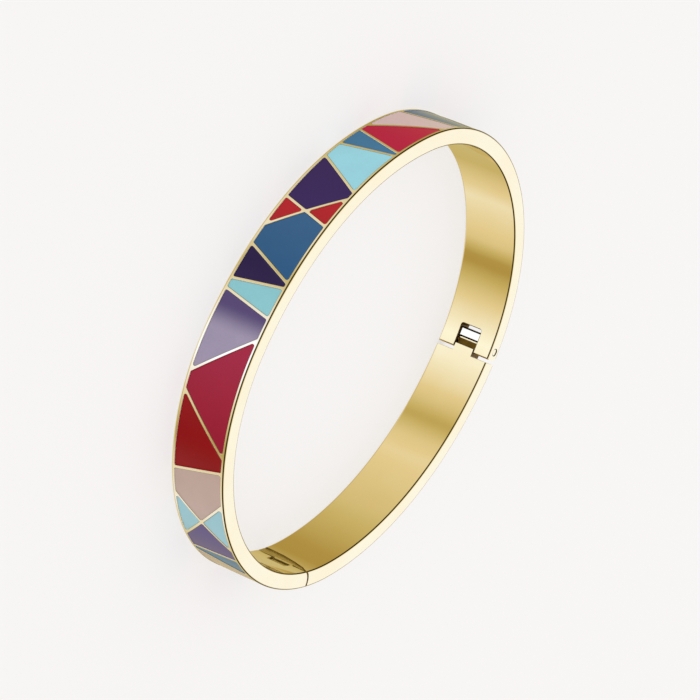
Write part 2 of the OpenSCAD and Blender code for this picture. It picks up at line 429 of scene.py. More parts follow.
class Metal(Enum):
    """The finishes of a band, in the order of its materials."""

    POLISHED = PolishedGold()
    # Painted highlight: a paler, near-white copy of the polished gold, for the outer face between the fields
    # and the hinge tongue's tail.
    WIRE = PolishedGold(
        "wire_gold_painted_highlight", (1.0, 0.94, 0.80, 1.0), (1.0, 0.90, 0.70, 1.0), (0.35, 0.27, 0.10, 1.0), 0.12
    )
    # Painted shade: the darkest brown, on the cut faces of the hinge's slot, bores and groove.
    BARE_SHADED = BareGoldPaintedShade()
    # Painted shade: a matt gold darker than the polished one, on the seam ends, notch, slot, ears' bevel and
    # the clasp tongue.
    SATIN_SHADED = BareGoldPaintedShade("satin_gold_painted_shade", (0.66, 0.52, 0.20, 1.0), (0.56, 0.43, 0.16, 1.0), 0.30)
    # Painted shade: a dark brown for the step round the relief inside the back part's end.
    DULL_SHADED = BareGoldPaintedShade("dull_gold_painted_shade", (0.28, 0.19, 0.045, 1.0), (0.21, 0.145, 0.032, 1.0), 0.32)

    @property
    def place(self) -> int:
        """Its number among the materials."""
        return list(Metal).index(self)


class Tint(Enum):
    """The enamels. Each runs from its first colour, at the hinge side of a field, to its second."""

    AUBERGINE = Enamel("aubergine", (50, 27, 88), (54, 31, 92))
    DARK_AUBERGINE = Enamel("dark_aubergine", (40, 27, 72), (43, 29, 76))
    STEEL_BLUE = Enamel("steel_blue", (52, 97, 139), (44, 91, 135))
    # Partly painted light: lighter than its family's colour, in part for the weaker light on the fields 20 to
    # 45 mm along the band.
    SMALL_STEEL_BLUE = Enamel("small_steel_blue", (61, 117, 156), (61, 117, 156), "steel_blue")
    LIGHT_BLUE = Enamel("light_blue", (142, 202, 210), (144, 205, 213))
    # Partly painted light: lighter than its family's colour, in part for the weaker light on the fields 20 to
    # 45 mm along the band.
    BRIGHT_BLUE = Enamel("bright_blue", (155, 216, 229), (155, 216, 229), "light_blue")
    DUSTY_BLUE = Enamel("dusty_blue", (156, 200, 210), (156, 200, 210), "light_blue")
    CRIMSON = Enamel("crimson", (164, 28, 60), (154, 22, 52))
    # Partly painted light: lighter than its family's colour, in part for the weaker light on the fields 20 to
    # 45 mm along the band.
    BRIGHT_CRIMSON = Enamel("bright_crimson", (188, 8, 66), (185, 6, 64), "crimson")
    DARK_RED = Enamel("dark_red", (147, 8, 24), (142, 7, 22))
    BRIGHT_RED = Enamel("bright_red", (182, 27, 40), (176, 26, 38))
    # Painted sheen: the lilac's turn from dark purple to pale lilac is a reflection painted into its colour.
    LILAC = Enamel("lilac", (86, 70, 117), (161, 150, 174), turning=(0.14, 0.5))
    MUTED_PURPLE = Enamel("muted_purple", (92, 79, 132), (94, 81, 133))
    ROSE = Enamel("rose", (192, 166, 155), (194, 169, 158))
    # Partly painted light: lighter than its family's colour, in part for the weaker light on the fields 20 to
    # 45 mm along the band.
    PALE_ROSE = Enamel("pale_rose", (217, 190, 189), (217, 190, 189), "rose")


# The band's form


@dataclass(frozen=True)
class Oval:
    """The outer face seen along the band's axis: two end arcs and two side arcs, each tangent to the next."""

    end_radius: float = 26.0
    end_x: float = 6.5184
    side_y: float = 11.2902
    turn: float = math.radians(60)

    @property
    def side_radius(self) -> float:
        """Radius of the two long arcs."""
        return self.end_radius + 2 * self.end_x

    @property
    def quarter(self) -> float:
        """Length of a quarter of the oval."""
        return self.end_radius * self.turn + self.side_radius * (math.pi / 2 - self.turn)

    def normal_angle(self, along: float) -> float:
        """Direction of the outward normal at a place.

        Args:
            along: distance round the oval.

        Returns:
            The angle from +X, in radians.
        """
        count, rest = divmod(along, self.quarter)
        mirrored = int(count) % 2 == 1
        run = self.quarter - rest if mirrored else rest
        end_length = self.end_radius * self.turn
        if run <= end_length:
            angle = run / self.end_radius
        else:
            angle = self.turn + (run - end_length) / self.side_radius
        return math.pi * (int(count) // 2) + (math.pi - angle if mirrored else angle)

    def arc_of(self, angle: float) -> Place:
        """The arc whose normals include a direction.

        Args:
            angle: the direction, in radians.

        Returns:
            x and y of its centre, and its radius.
        """
        c, s = math.cos(angle), math.sin(angle)
        if math.atan2(abs(s), abs(c)) <= self.turn:
            return (math.copysign(self.end_x, c), 0.0, self.end_radius)
        return (0.0, -math.copysign(self.side_y, s), self.side_radius)

    def at(self, place: Place) -> Vector:
        """The point at a place, in metres.

        Args:
            place: along, up and depth.

        Returns:
            The point.
        """
        angle = self.normal_angle(place[0])
        x, y, radius = self.arc_of(angle)
        reach = radius - place[2]
        return Vector((x + reach * math.cos(angle), y + reach * math.sin(angle), place[1])) * MM

    def foot(self, point: Vector) -> tuple[float, float]:
        """Finds a point's place by its normal.

        Args:
            point: a point near the band, in metres.

        Returns:
            The normal's angle in radians and the depth.
        """
        x, y = point.x / MM, point.y / MM
        centre_x = math.copysign(self.end_x, x)
        if abs(x) > self.end_x and math.atan2(abs(y), abs(x) - self.end_x) <= self.turn:
            return math.atan2(y, x - centre_x), self.end_radius - math.hypot(x - centre_x, y)
        shift = math.copysign(self.side_y, y)
        return math.atan2(y + shift, x), self.side_radius - math.hypot(x, y + shift)


@dataclass(frozen=True)
class Bar:
    """The band's section: flat outside and inside, with rounded edges."""

    width: float = 8.0
    thickness: float = 2.2
    outer_round: float = 0.27
    inner_round: float = 0.27
    outer_steps: int = 6
    inner_steps: int = 6

    @property
    def through(self) -> Point:
        """From where to where a cut right through the bar runs."""
        return (-1.0, self.width + 1)

    @property
    def flat(self) -> Point:
        """From where to where the flat of the outer face runs."""
        return (self.outer_round, self.width - self.outer_round)

    def central(self, width: float) -> Point:
        """From where to where a width in the bar's middle runs."""
        return (self.width / 2 - width / 2, self.width / 2 + width / 2)

    def outline(self) -> list[Point]:
        """The section without its outer side.

        Returns:
            Points (up, depth) from the outer side's upper end over the top and the inside to its lower end.
        """
        upper = []
        for step in range(self.outer_steps + 1):
            turn = math.pi / 2 * step / self.outer_steps
            rise = self.outer_round * (1 - math.sin(turn))
            upper.append((self.width - rise, self.outer_round * (1 - math.cos(turn))))
        for step in range(self.inner_steps + 1):
            turn = math.pi / 2 * step / self.inner_steps
            rise = self.inner_round * (1 - math.cos(turn))
            upper.append((self.width - rise, self.thickness - self.inner_round * (1 - math.sin(turn))))
        return upper + [(self.width - up, depth) for up, depth in reversed(upper)]

    def normal(self, up: float, depth: float) -> tuple[float, float, float]:
        """The surface's direction near a point of the section.

        Args:
            up: height over the lower edge.
            depth: depth below the outer face.

        Returns:
            The normal's outward and upward shares, and how far the point is from the surface.
        """
        low = up < self.width / 2
        height = up if low else self.width - up
        sign = -1.0 if low else 1.0
        inner = self.thickness - depth
        if depth < self.outer_round and height < self.outer_round:
            pair, radius = (self.outer_round - depth, self.outer_round - height), self.outer_round
        elif inner < self.inner_round and height < self.inner_round:
            pair, radius = (inner - self.inner_round, self.inner_round - height), self.inner_round
        elif min(depth, inner) < height:
            return (1.0 if depth < inner else -1.0), 0.0, abs(min(depth, inner))
        else:
            return 0.0, sign, abs(height)
        size = math.hypot(*pair) or 1.0
        return pair[0] / size, sign * pair[1] / size, abs(size - radius)


# Outlines in the plane


@dataclass(frozen=True)
class Edge:
    """A point of an outline and the outline's outward normal there."""

    x: float
    y: float
    out_x: float
    out_y: float

    def moved(self, outwards: float) -> Point:
        """The point, moved along its normal."""
        return (self.x + self.out_x * outwards, self.y + self.out_y * outwards)


def clipped(outline: list[Point], normal: Point, limit: float) -> list[Point]:
    """Cuts a convex outline with a line.

    Args:
        outline: the corners.
        normal: the line's normal, towards the part that goes.
        limit: the line's distance along the normal.

    Returns:
        The corners of the part that stays.
    """
    kept = []
    for here, there in zip(outline, outline[1:] + outline[:1], strict=True):
        a = normal[0] * here[0] + normal[1] * here[1] - limit
        b = normal[0] * there[0] + normal[1] * there[1] - limit
        if a <= 0:
            kept.append(here)
        if a * b < 0:
            share = a / (a - b)
            kept.append((here[0] + (there[0] - here[0]) * share, here[1] + (there[1] - here[1]) * share))
    return kept


def rounded(outline: list[Point], radius: float, steps: int, spacing: float) -> list[Edge]:
    """Rounds the corners of a convex outline.

    Args:
        outline: corners, anticlockwise.
        radius: the corners' radius, less where an edge is short.
        steps: steps along each corner.
        spacing: distance of the points along the straight sides.

    Returns:
        The points of the rounded outline, with their normals.
    """
    corners = [Vector(point) for point in outline]
    arcs = []
    for index, corner in enumerate(corners):
        back = corners[index - 1] - corner
        ahead = corners[(index + 1) % len(corners)] - corner
        out = -(back.normalized() + ahead.normalized()).normalized()
        half = back.angle(ahead) / 2
        size = min(radius, CORNER_SHARE * min(back.length, ahead.length) * math.tan(half))
        centre = corner - out * (size / math.sin(half))
        side = Vector((-out.y, out.x))
        found = []
        for step in range(steps + 1):
            turn = (math.pi / 2 - half) * (2 * step / steps - 1)
            normal = out * math.cos(turn) + side * math.sin(turn)
            found.append((centre + normal * size, normal))
        arcs.append(found)
    points = []
    for this, following in zip(arcs, arcs[1:] + arcs[:1], strict=True):
        points += this
        (here, normal), (there, _) = this[-1], following[0]
        count = math.ceil((there - here).length / spacing)
        points += [(here.lerp(there, step / count), normal) for step in range(1, count)]
    return [Edge(point.x, point.y, normal.x, normal.y) for point, normal in points]


def inside_by(outline: Sequence[Point], point: Point) -> float:
    """How far a point lies inside a convex outline.

    Args:
        outline: the corners, anticlockwise.
        point: the point.

    Returns:
        The distance to the nearest side's line, negative outside.
    """
    nearest = math.inf
    ax, ay = outline[-1]
    for bx, by in outline:
        length = math.hypot(bx - ax, by - ay)
        if length > TINY:
            nearest = min(nearest, ((bx - ax) * (point[1] - ay) - (by - ay) * (point[0] - ax)) / length)
        ax, ay = bx, by
    return nearest


def reach_along(outline: Sequence[Point]) -> Point:
    """The lowest and the highest place along the band of an outline."""
    return min(x for x, _ in outline), max(x for x, _ in outline)


def grid(low: Point, high: Point, spacing: float) -> list[Point]:
    """Points in rows and columns over a rectangle, half a step from its sides.

    Args:
        low: lower left corner.
        high: upper right corner.
        spacing: the largest step.

    Returns:
        The points.
    """
    columns = math.ceil((high[0] - low[0]) / spacing)
    rows = math.ceil((high[1] - low[1]) / spacing)
    across = [low[0] + (high[0] - low[0]) * (column + 0.5) / columns for column in range(columns)]
    upwards = [low[1] + (high[1] - low[1]) * (row + 0.5) / rows for row in range(rows)]
    return [(x, y) for x in across for y in upwards]


def triangles(
    loops: Sequence[Sequence[Point]], loose: Iterable[Point], keep: Callable[[Point], bool]
) -> list[list[Point]]:
    """Fills the plane between outlines with triangles.

    Args:
        loops: closed outlines whose edges are kept.
        loose: further points to use.
        keep: tells from a triangle's middle if it stays.

    Returns:
        The corners of each triangle, anticlockwise.
    """
    points: list[Point] = []
    edges = []
    for loop in loops:
        first = len(points)
        points += loop
        edges += [(first + i, first + (i + 1) % len(loop)) for i in range(len(loop))]
    points += list(loose)
    vectors = [Vector(point) for point in points]
    coords, _, faces, sources, _, _ = delaunay_2d_cdt(vectors, edges, [], 0, TOUCH)
    placed = []
    for at, source in zip(coords, sources, strict=True):
        placed.append(points[source[0]] if source else (at.x, at.y))
    found = []
    for face in faces:
        corners = [placed[i] for i in face]
        if keep((sum(x for x, _ in corners) / 3, sum(y for _, y in corners) / 3)):
            found.append(corners)
    return found


# Meshes


@dataclass
class Draft:
    """A mesh under construction. Places that fall together become one point."""

    places: list[Place] = field(default_factory=list)
    faces: list[tuple[int, ...]] = field(default_factory=list)
    known: dict[tuple[int, ...], int] = field(default_factory=dict)

    def add(self, place: Place) -> int:
        """Adds a place, unless it is known.

        Args:
            place: the place.

        Returns:
            Its number.
        """
        key = tuple(round(value * PLACES_PER_MM) for value in place)
        if key not in self.known:
            self.known[key] = len(self.places)
            self.places.append(place)
        return self.known[key]

    def face(self, corners: Iterable[Place]) -> None:
        """Adds a face, unless too few of its corners differ.

        Args:
            corners: the places of its corners, in turn.
        """
        numbers = tuple(dict.fromkeys(self.add(corner) for corner in corners))
        if len(numbers) > 2:
            self.faces.append(numbers)

    def strip(self, first: Sequence[Place], second: Sequence[Place], closed: bool = False) -> None:
        """Joins two rows of places with quads.

        Args:
            first: one row.
            second: the other row, as long.
            closed: whether the rows' last places join their first ones.
        """
        for i in range(0 if closed else 1, len(first)):
            self.face((first[i - 1], first[i], second[i], second[i - 1]))

    def loft(self, rows: Sequence[Sequence[Place]], closed: bool = False) -> None:
        """Joins each row of places to the next one."""
        for this, following in zip(rows, rows[1:], strict=False):
            self.strip(this, following, closed)

    def floor(self, rim: list[Point], depth: float, height: float, cell: float, margin: float = 0.2) -> None:
        """Fills a convex outline at one depth.

        Args:
            rim: the outline.
            depth: the depth.
            height: the bar's width, over which the points inside are spread.
            cell: their spacing.
            margin: how far they keep from the outline.
        """
        low, high = reach_along(rim)
        inner = [point for point in grid((low, 0), (high, height), cell) if inside_by(rim, point) > margin]
        for corners in triangles([rim], inner, lambda middle: inside_by(rim, middle) > 0):
            self.face((x, y, depth) for x, y in corners)

    def mesh(self, name: str, to_point: Callable[[Place], Vector]) -> bpy.types.Mesh:
        """Makes the mesh.

        Args:
            name: the mesh's name.
            to_point: turns a place into a point in metres.

        Returns:
            The mesh, with its faces turned outwards.
        """
        made = bpy.data.meshes.new(name)
        made.from_pydata([to_point(place) for place in self.places], [], self.faces)
        work = bmesh.new()
        work.from_mesh(made)
        bmesh.ops.recalc_face_normals(work, faces=work.faces)
        work.to_mesh(made)
        work.free()
        return made


def new_piece(name: str, mesh: bpy.types.Mesh, *materials: bpy.types.Material) -> bpy.types.Object:
    """Puts a mesh into the scene.

    Args:
        name: the piece's name.
        mesh: its mesh.
        materials: its materials, the one of the uncut faces first.

    Returns:
        The piece.
    """
    made = bpy.data.objects.new(name, mesh)
    bpy.context.scene.collection.objects.link(made)
    for material in materials:
        mesh.materials.append(material)
    return made


def box(x0: float, x1: float, y0: float, y1: float) -> list[Point]:
    """The corners of a rectangle."""
    return [(x0, y0), (x1, y0), (x1, y1), (x0, y1)]


def diamond(middle: Point, reach: float) -> list[Point]:
    """The corners of a square on its tip, which bevels an edge at its middle."""
    x, y = middle
    return [(x - reach, y), (x, y - reach), (x + reach, y), (x, y + reach)]


def circle(radius: float, steps: int = 48) -> list[Point]:
    """Points of a circle round a stand's axis."""
    return arc((0, 0), radius, 0, 360 - 360 / steps, steps - 1)


def arc(centre: Point, radius: float, start: float, end: float, steps: int = 24) -> list[Point]:
    """Points of an arc, with its angles in degrees."""
    turns = [math.radians(start + (end - start) * step / steps) for step in range(steps + 1)]
    return [(centre[0] + radius * math.cos(turn), centre[1] + radius * math.sin(turn)) for turn in turns]


class Lie(Enum):
    """The plane of a cutter's outline, as the places of its two coordinates and of its length."""

    FLAT = (0, 1, 2)
    UPRIGHT = (0, 2, 1)


@dataclass(frozen=True)
class Cutter:
    """A straight prism that is cut out of a mesh, and the finish that it leaves."""

    outline: Sequence[Point]
    low: float
    high: float
    lie: Lie = Lie.FLAT
    # cut faces take the darkest painted shade unless a finish is named
    finish: Metal = Metal.BARE_SHADED

    def mesh(self, stand: Matrix) -> bpy.types.Mesh:
        """Makes the prism.

        Args:
            stand: where it stands, in millimetres.

        Returns:
            The mesh, in metres.
        """
        draft = Draft()
        across, second, length = self.lie.value
        rings = []
        for end in (self.low, self.high):
            ring = []
            for a, b in self.outline:
                point = [0.0, 0.0, 0.0]
                point[across], point[second], point[length] = a, b, end
                ring.append((point[0], point[1], point[2]))
            rings.append(ring)
            draft.face(ring)
        draft.strip(rings[0], rings[1], closed=True)
        return draft.mesh("cutter", lambda place: stand @ Vector(place) * MM)


@dataclass(frozen=True)
class Stand:
    """A place to cut from: x runs along the band anticlockwise, y inwards and z up."""

    oval: Oval
    angle: float
    depth: float

    def matrix(self) -> Matrix:
        """Works out how the stand lies.

        Returns:
            The matrix, in millimetres.
        """
        x, y, radius = self.oval.arc_of(self.angle)
        reach = radius - self.depth
        origin = (x + reach * math.cos(self.angle), y + reach * math.sin(self.angle), 0.0)
        return Matrix.Translation(origin) @ Matrix.Rotation(self.angle + math.pi / 2, 4, "Z")


def cut(target: bpy.types.Object, stand: Matrix, cutters: Iterable[Cutter]) -> None:
    """Cuts prisms out of a piece, one after another.

    Args:
        target: the piece.
        stand: where the prisms stand, in millimetres.
        cutters: the prisms.
    """
    for cutter in cutters:
        tool = new_piece("cutter", cutter.mesh(stand), *target.data.materials)
        for face in tool.data.polygons:
            face.material_index = cutter.finish.place
        modifier = target.modifiers.new("cut", "BOOLEAN")
        modifier.operation = "DIFFERENCE"
        modifier.solver = "MANIFOLD"
        modifier.object = tool
        result = bpy.data.meshes.new_from_object(target.evaluated_get(bpy.context.evaluated_depsgraph_get()))
        target.modifiers.remove(modifier)
        spent = (target.data, tool.data)
        target.data = result
        bpy.data.objects.remove(tool)
        for mesh in spent:
            bpy.data.meshes.remove(mesh)
        result.name = target.name
    work = bmesh.new()
    work.from_mesh(target.data)
    bmesh.ops.remove_doubles(work, verts=work.verts, dist=WELD)
    work.to_mesh(target.data)
    work.free()


@dataclass(frozen=True)
class Shading:
    """Gives a cut bar the true normals of its rounded section, so that the mirror finish shows no facets."""

    oval: Oval
    bar: Bar
    reach: float = 0.006
    near: float = math.cos(math.radians(22))
    smooth: float = math.cos(math.radians(38))

    def true_normal(self, point: Vector) -> Vector | None:
        """The bar's normal at a point.

        Args:
            point: the point, in metres.

        Returns:
            The normal, or None off the bar's surface.
        """
        angle, depth = self.oval.foot(point)
        out, rise, off = self.bar.normal(point.z / MM, depth)
        return Vector((math.cos(angle) * out, math.sin(angle) * out, rise)) if off < self.reach else None

    def apply(self, mesh: bpy.types.Mesh) -> None:
        """Sets the normal of each face's corners.

        Args:
            mesh: the mesh.
        """
        mesh.shade_smooth()
        true = [self.true_normal(vertex.co) for vertex in mesh.vertices]
        around: list[list[Vector]] = [[] for _ in mesh.vertices]
        for face in mesh.polygons:
            for number in face.vertices:
                around[number].append(face.normal * face.area)
        normals = []
        for face in mesh.polygons:
            for number in face.vertices:
                exact = true[number]
                if exact is None or exact.dot(face.normal) < self.near:
                    beside = [n for n in around[number] if n.dot(face.normal) > self.smooth * n.length]
                    exact = sum(beside, Vector((0, 0, 0))).normalized() if beside else face.normal.copy()
                normals.append(exact)
        mesh.normals_split_custom_set(normals)


# The enamel layout


@dataclass(frozen=True)
class Wire:
    """A straight wire: where it meets the band's lower and upper edge, in mm along the band."""

    lower: float
    upper: float

    def line(self, towards_clasp: bool, half_width: float, height: float) -> tuple[Point, float]:
        """The line that bounds a field beside the wire.

        Args:
            towards_clasp: True if the wire lies on the field's clasp side.
            half_width: half of the wire's width.
            height: the band's width.

        Returns:
            The line's normal, out of the field, and its distance.
        """
        slope = (self.upper - self.lower) / height
        size = math.hypot(1.0, slope)
        sign = 1.0 if towards_clasp else -1.0
        return (sign / size, -sign * slope / size), sign * self.lower / size - half_width


@dataclass(frozen=True)
class Field:
    """An enamel field: its tint and the wires on its hinge side and on its clasp side."""

    tint: Tint
    hinge_side: tuple[int, ...]
    clasp_side: tuple[int, ...]


# The wires and the fields between them, both from the clasp to the hinge
WIRES = tuple(Wire(*ends) for ends in (
    (116.2, 116.2), (110.6, 113.4), (108.3, 105.6), (100.8, 103.4), (100.1, 99.1), (89.0, 97.2), (97.6, 88.2),
    (85.7, 83.7), (74.7, 82.1), (73.1, 66.0), (61.8, 63.6), (60.6, 59.3), (55.4, 58.8), (53.1, 44.7),
    (47.8, 50.1), (39.6, 44.1), (36.9, 35.2), (32.6, 34.7), (31.6, 24.2), (24.1, 21.3), (14.2, 17.6),
    (11.6, 8.4), (5.4, -2.0), (-1.8, 5.2), (-9.0, -6.8), (-11.6, -15.0), (-19.3, -17.0), (-22.2, -22.2),
))
FIELDS = tuple(Field(*row) for row in (
    (Tint.AUBERGINE, (1,), (0,)), (Tint.CRIMSON, (2,), (1,)), (Tint.ROSE, (3,), (2,)),
    (Tint.SMALL_STEEL_BLUE, (4,), (3,)), (Tint.MUTED_PURPLE, (5, 6), (4,)), (Tint.DUSTY_BLUE, (5,), (6,)),
    (Tint.DUSTY_BLUE, (6,), (5,)), (Tint.ROSE, (7,), (5, 6)), (Tint.DARK_RED, (8,), (7,)),
    (Tint.CRIMSON, (9,), (8,)), (Tint.LILAC, (10,), (9,)), (Tint.LIGHT_BLUE, (11,), (10,)),
    (Tint.DARK_AUBERGINE, (12,), (11,)), (Tint.STEEL_BLUE, (13, 14), (12,)), (Tint.BRIGHT_RED, (14,), (13,)),
    (Tint.BRIGHT_RED, (13,), (14,)), (Tint.AUBERGINE, (15,), (13, 14)), (Tint.BRIGHT_BLUE, (16,), (15,)),
    (Tint.SMALL_STEEL_BLUE, (17,), (16,)), (Tint.BRIGHT_CRIMSON, (18,), (17,)),
    (Tint.PALE_ROSE, (19,), (18,)), (Tint.STEEL_BLUE, (20,), (19,)), (Tint.CRIMSON, (21,), (20,)),
    (Tint.AUBERGINE, (22, 23), (21,)), (Tint.BRIGHT_BLUE, (23,), (22,)), (Tint.BRIGHT_BLUE, (22,), (23,)),
    (Tint.ROSE, (24,), (22, 23)), (Tint.DARK_RED, (25,), (24,)), (Tint.LILAC, (26,), (25,)),
    (Tint.STEEL_BLUE, (27,), (26,)),
))


@dataclass(frozen=True)
class Layout:
    """The fields' outlines between the rims and the wires."""

    bar: Bar
    rim: float = 0.5
    wire: float = 0.36
    corner: float = 0.25
    corner_steps: int = 6
    spacing: float = 0.22

    def outline(self, shape: Field) -> list[Edge]:
        """The wall of a field's recess, in (along, up).

        Args:
            shape: the field.

        Returns:
            The points of the wall, anticlockwise, with their normals.
        """
        ends = [end for n in shape.hinge_side + shape.clasp_side for end in (WIRES[n].lower, WIRES[n].upper)]
        found = box(min(ends), max(ends), self.rim, self.bar.width - self.rim)
        for numbers, towards_clasp in ((shape.hinge_side, False), (shape.clasp_side, True)):
            for number in numbers:
                found = clipped(found, *WIRES[number].line(towards_clasp, self.wire / 2, self.bar.width))
        return rounded(found, self.corner, self.corner_steps, self.spacing)


# Sub-assemblies


@dataclass(frozen=True)
class EnamelFields:
    """The enamel in the recesses, each field a closed piece of its own."""

    oval: Oval
    layout: Layout
    clearance: float = 0.006
    climb: float = 0.03
    settled: float = 0.08
    reach: float = 0.09
    floor: float = 0.43
    insets: tuple[float, ...] = (0.02, 0.045, 0.08, 0.13, 0.2, 0.3)
    straight: float = 0.97  # share of its inset that a row's point has to keep from the nearest side
    rows_per_mm: float = 40.0
    cell: float = 0.4
    floor_cell: float = 1.0
    rim_reach: float = 0.11
    edge_angle: float = math.radians(40)

    def depth(self, inset: float) -> float:
        """Depth of the face at a distance from its edge: the enamel climbs a little at the wire."""
        return self.settled - (self.settled - self.climb) * math.exp(-max(inset, 0.0) / self.reach)

    def loose_points(self, edges: list[Edge], rim: list[Point]) -> list[Point]:
        """Points for the face: rows that follow the climb at the edge, and a grid inside.

        Args:
            edges: the recess wall.
            rim: the face's edge.

        Returns:
            The points.
        """
        found: dict[tuple[int, int], Point] = {}
        for inset in self.insets:
            for edge in edges:
                point = edge.moved(-self.clearance - inset)
                if inside_by(rim, point) > self.straight * inset:
                    key = (round(point[0] * self.rows_per_mm), round(point[1] * self.rows_per_mm))
                    found.setdefault(key, point)
        low, high = reach_along(rim)
        inner = self.insets[-1] + self.cell / 3
        cells = grid((low, 0.0), (high, self.layout.bar.width), self.cell)
        return list(found.values()) + [point for point in cells if inside_by(rim, point) > inner]

    def build(self, number: int, shape: Field, gloss: bpy.types.Material) -> bpy.types.Object:
        """Builds one field, which stands for its solid.

        Args:
            number: the field's number, from 1 at the clasp.
            shape: the field.
            gloss: its enamel.

        Returns:
            The piece.
        """
        edges = self.layout.outline(shape)
        rim = [edge.moved(-self.clearance) for edge in edges]
        draft = Draft()
        loose = self.loose_points(edges, rim)
        for corners in triangles([rim], loose, lambda middle: inside_by(rim, middle) > 0):
            draft.face((x, y, self.depth(inside_by(rim, (x, y)))) for x, y in corners)
        draft.loft([[(x, y, depth) for x, y in rim] for depth in (self.depth(0.0), self.floor)], closed=True)
        draft.floor(rim, self.floor, self.layout.bar.width, self.floor_cell)
        name = f"enamel_{number:02d}"
        mesh = draft.mesh(f"gloss_{name}", self.oval.at)
        along = mesh.attributes.new("along", "FLOAT", "POINT")
        near = mesh.attributes.new("rim", "FLOAT", "POINT")
        low, high = reach_along(rim)
        for index, (x, y, _) in enumerate(draft.places):
            along.data[index].value = (x - low) / (high - low)
            # The rim value drives the enamel's painted shade at the wire.
            near.data[index].value = max(0.0, 1.0 - max(inside_by(rim, (x, y)), 0.0) / self.rim_reach) ** 2
        mesh.shade_smooth()
        mesh.set_sharp_from_angle(angle=self.edge_angle)
        piece = new_piece(mesh.name, mesh, gloss)
        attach(piece, "front")
        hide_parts(name)
        shape.tint.value.slot
        return piece


@dataclass(frozen=True)
class Sweep:
    """The bar drawn along the oval between two places, closed at both ends."""

    oval: Oval
    bar: Bar
    start: float
    end: float
    spacing: float = 0.45

    def stations(self) -> list[float]:
        """Places of the sections."""
        count = math.ceil((self.end - self.start) / self.spacing)
        return [self.start + (self.end - self.start) * step / count for step in range(count + 1)]

    def draft(self) -> Draft:
        """Draws the bar without its outer face.

        Returns:
            The draft.
        """
        made = Draft()
        rows = [[(along, up, depth) for up, depth in self.bar.outline()] for along in self.stations()]
        made.loft(rows)
        made.face(rows[0])
        made.face(rows[-1])
        return made


@dataclass(frozen=True)
class Hinge:
    """The hinge's place and sizes, in a stand at its pin."""

    oval: Oval
    bar: Bar
    place: float = math.radians(-56.6)
    depth: float = 1.1
    pin: float = 0.52
    ear_bore: float = 0.54
    tongue_bore: float = 0.58
    ear_round: float = 1.15
    ear_end: float = 1.17
    slot_width: float = 3.1
    slot_end: float = 2.15
    slot_corner: float = 0.3
    slot_steps: int = 8
    slot_lip: float = 0.1
    lip_depth: float = 0.04
    shoulder: float = 1.66
    chamfer: float = 0.25
    ear_bevel: float = 0.2
    tongue_width: float = 2.84
    tail: float = 1.7
    tail_depth: float = 0.8
    tail_bevel: float = 0.2
    groove: tuple[float, float, float] = (-0.64, 0.39, 0.64)  # its two sides and its roof
    ledge: float = 0.2
    skim: float = 0.01
    far: float = 4.0

    def stand(self) -> Matrix:
        """Stand at the pin."""
        return Stand(self.oval, self.place, self.depth).matrix()

    def slot(self, wider: float) -> list[Point]:
        """The slot between the ears, with rounded corners.

        Args:
            wider: how far each side lies outside the slot's own.

        Returns:
            The corners in the wall's plane.
        """
        low, high = self.bar.central(self.slot_width + 2 * wider)
        corner, end = self.slot_corner + wider, self.slot_end + wider
        lower = arc((end - corner, low + corner), corner, -90, 0, self.slot_steps)
        upper = arc((end - corner, high - corner), corner, 0, 90, self.slot_steps)
        return [(-self.far, low), *lower, *upper, (-self.far, high)]

    def ear_cutters(self) -> list[Cutter]:
        """What shapes the front part's ears.

        Returns:
            The cutters.
        """
        far, inner, through = self.far, self.bar.thickness - self.depth, self.bar.through
        ears = [(0.0, -far), *arc((0, 0), self.ear_round, -90, -180), (-self.ear_end, 0.0)]
        ears += [(-self.ear_end, far), (-2 * far, far), (-2 * far, -far)]
        edge = diamond((-self.ear_end, inner), self.ear_bevel)
        # The slot and the bore take the darkest painted shade, the ears' bevel a lighter one.
        return [
            Cutter(ears, *through, finish=Metal.POLISHED),
            Cutter(edge, *through, finish=Metal.SATIN_SHADED),
            Cutter(self.slot(self.slot_lip), inner - self.lip_depth, far, Lie.UPRIGHT),
            Cutter(self.slot(0.0), -far, far, Lie.UPRIGHT),
            Cutter(circle(self.ear_bore), *through),
        ]

    def tongue_cutters(self) -> list[Cutter]:
        """What shapes the back part's shoulder and its tongue between the ears.

        Returns:
            The cutters.
        """
        far, through = self.far, self.bar.through
        low, high = self.bar.central(self.tongue_width)
        side = box(-self.shoulder, far, -far, far)
        corner = diamond((-self.shoulder, -self.depth), self.chamfer * math.sqrt(2))
        left, right, roof = self.groove
        shoulder = box(-self.shoulder - self.skim, 0.0, -far, far)
        # Cuts without a named finish take the darkest painted shade.
        found = []
        below, above = (through[0], low), (high, through[1])
        for whole, clear in ((below, (below[0], low - self.skim)), (above, (high + self.skim, above[1]))):
            found.append(Cutter(side, *whole))
            found += [Cutter(shape, *clear, finish=Metal.POLISHED) for shape in (shoulder, corner)]
        return found + [
            Cutter(box(self.tail, far, -far, far), *through),
            Cutter(box(left, right, roof, far), *through, finish=Metal.POLISHED),
            Cutter(box(left, self.ledge, roof - 2 * self.skim, far), *through),
            # the tail's end takes the near-white gold: painted highlight
            Cutter(box(right - self.skim, far, self.tail_depth, far), *through, finish=Metal.WIRE),
            Cutter(diamond((self.tail, self.tail_depth), self.tail_bevel), *through),
            Cutter(diamond((right, self.tail_depth), self.tail_bevel), *through),
            Cutter(circle(self.tongue_bore), *through),
        ]


